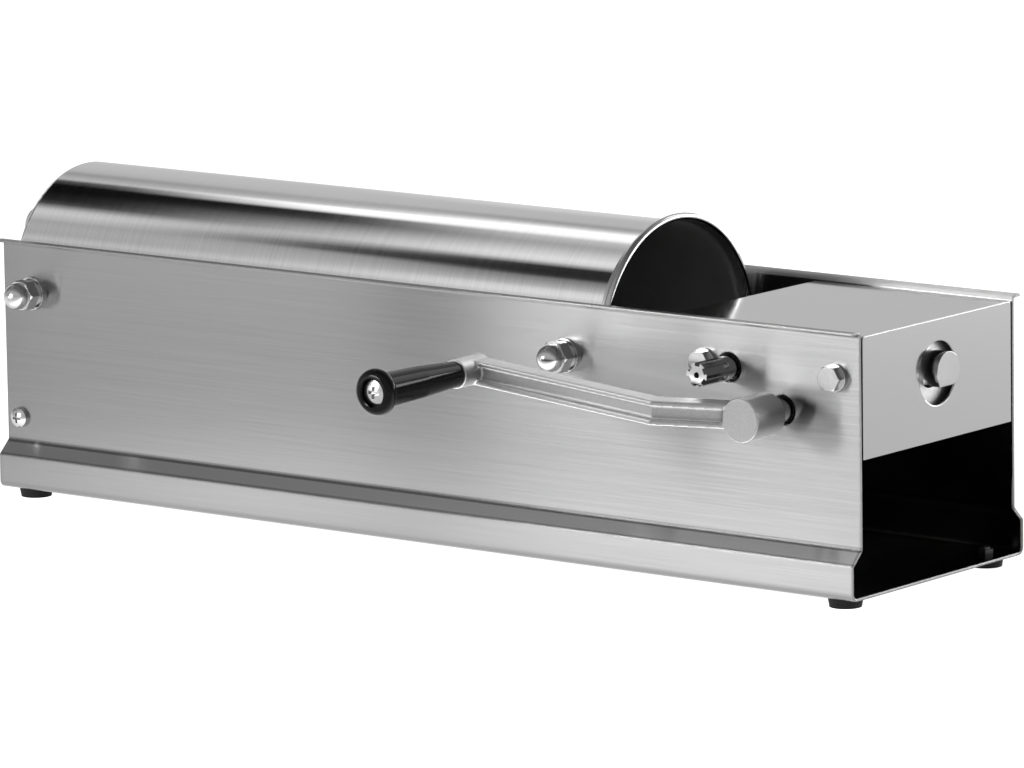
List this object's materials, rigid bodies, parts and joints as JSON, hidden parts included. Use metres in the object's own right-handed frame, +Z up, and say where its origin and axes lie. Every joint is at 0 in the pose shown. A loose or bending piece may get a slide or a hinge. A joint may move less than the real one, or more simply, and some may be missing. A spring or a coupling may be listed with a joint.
{
  "type": "horizontal sausage stuffer",
  "caption": "Hand-cranked horizontal stuffer: a steel cylinder in a folded channel base, with a rack-driven piston, a sheet gearbox cover and a removable crank.",
  "frame": {"origin": "centre of the channel's footprint on the plane of the four feet", "axes": "+X along the cylinder from the outlet to the gearbox, -Y towards the crank side, +Z up"},
  "size_m": [0.6644, 0.3255, 0.2],
  "materials": {
    "frame_sheet": "brushed along the length",
    "cover_sheet": "fine satin",
    "cylinder_steel": "fine circumferential brushing, nearly polished",
    "bright_fasteners": "bright",
    "polished_steel": "turned and polished",
    "gearbox_steel": "milled",
    "gear_steel": "machined and oiled",
    "cast_metal": "cast, lightly rough, with ground edges",
    "bronze": "turned",
    "black_grip": "glossy",
    "black_rubber": "matt",
    "white_plastic": "turned food-grade plastic",
    "white_silicone": "smooth"
  },
  "bodies": {
    "frame": {"frame_channel": "frame_sheet", "front_tie_bar": "frame_sheet", "tie_bar_screws": "bright_fasteners", "tie_bar_nuts": "bright_fasteners", "rubber_feet": "black_rubber", "foot_screws": "bright_fasteners", "foot_nuts": "bright_fasteners", "cylinder": "cylinder_steel", "trunnion_studs": "bright_fasteners", "saddle_strap": "frame_sheet", "strap_studs": "bright_fasteners", "dome_nuts": "bright_fasteners", "flat_washers": "bright_fasteners", "spring_washers": "bright_fasteners", "outlet_gasket": "white_silicone", "gearbox_cover": "cover_sheet", "cover_spacers": "bright_fasteners", "gearbox_bolts": "bright_fasteners", "gearbox_washers": "bright_fasteners", "near_cheek": "gearbox_steel", "far_cheek": "gearbox_steel", "front_guide_bar": "gearbox_steel", "rear_guide_bar": "gearbox_steel", "bearing_plate": "gearbox_steel", "cheek_screws": "bright_fasteners", "shaft_bushes": "bronze"},
    "outlet_nut": {"outlet_nut": "polished_steel"},
    "rack": {"rack_bar": "polished_steel", "piston_plate": "white_plastic", "piston_seal": "white_silicone", "piston_flange": "polished_steel", "piston_screws": "bright_fasteners"},
    "lower_shaft": {"pinion_shaft": "polished_steel", "large_gear": "gear_steel", "large_gear_key": "gear_steel", "lower_shaft_ring": "gear_steel"},
    "speed_shaft": {"speed_shaft": "polished_steel", "small_gear": "gear_steel", "small_gear_key": "gear_steel", "speed_shaft_rings": "gear_steel"},
    "crank": {"crank_arm": "cast_metal", "grip_screw": "bright_fasteners"},
    "grip": {"grip": "black_grip"}
  },
  "joints": [
    {"name": "rack_slide", "type": "slide", "parent": "frame", "child": "rack", "axis": [1, 0, 0], "range_m": [0, 0.455]},
    {"name": "lower_shaft_spin", "type": "hinge", "parent": "frame", "child": "lower_shaft", "pos_m": [0.2645, 0, 0.109], "axis": [0, 1, 0], "range_deg": [0, 2608]},
    {"name": "speed_shaft_spin", "type": "hinge", "parent": "frame", "child": "speed_shaft", "pos_m": [0.22715, 0, 0.12979], "axis": [0, 1, 0], "range_deg": [-6682, 0]},
    {"name": "outlet_nut_turn", "type": "hinge", "parent": "frame", "child": "outlet_nut", "pos_m": [-0.335, 0, 0.126], "axis": [-1, 0, 0], "continuous": true},
    {"name": "crank_pull", "type": "slide", "parent": "lower_shaft", "child": "crank", "axis": [0, -1, 0], "range_m": [0, 0.03]},
    {"name": "grip_spin", "type": "hinge", "parent": "crank", "child": "grip", "pos_m": [0.09066, -0.18, 0.12421], "axis": [0, 1, 0], "continuous": true}
  ],
  "couplings": [
    {"joint": "lower_shaft_spin", "follows": "rack_slide", "rad_per_m": 100},
    {"joint": "speed_shaft_spin", "follows": "rack_slide", "rad_per_m": -256.25}
  ]
}
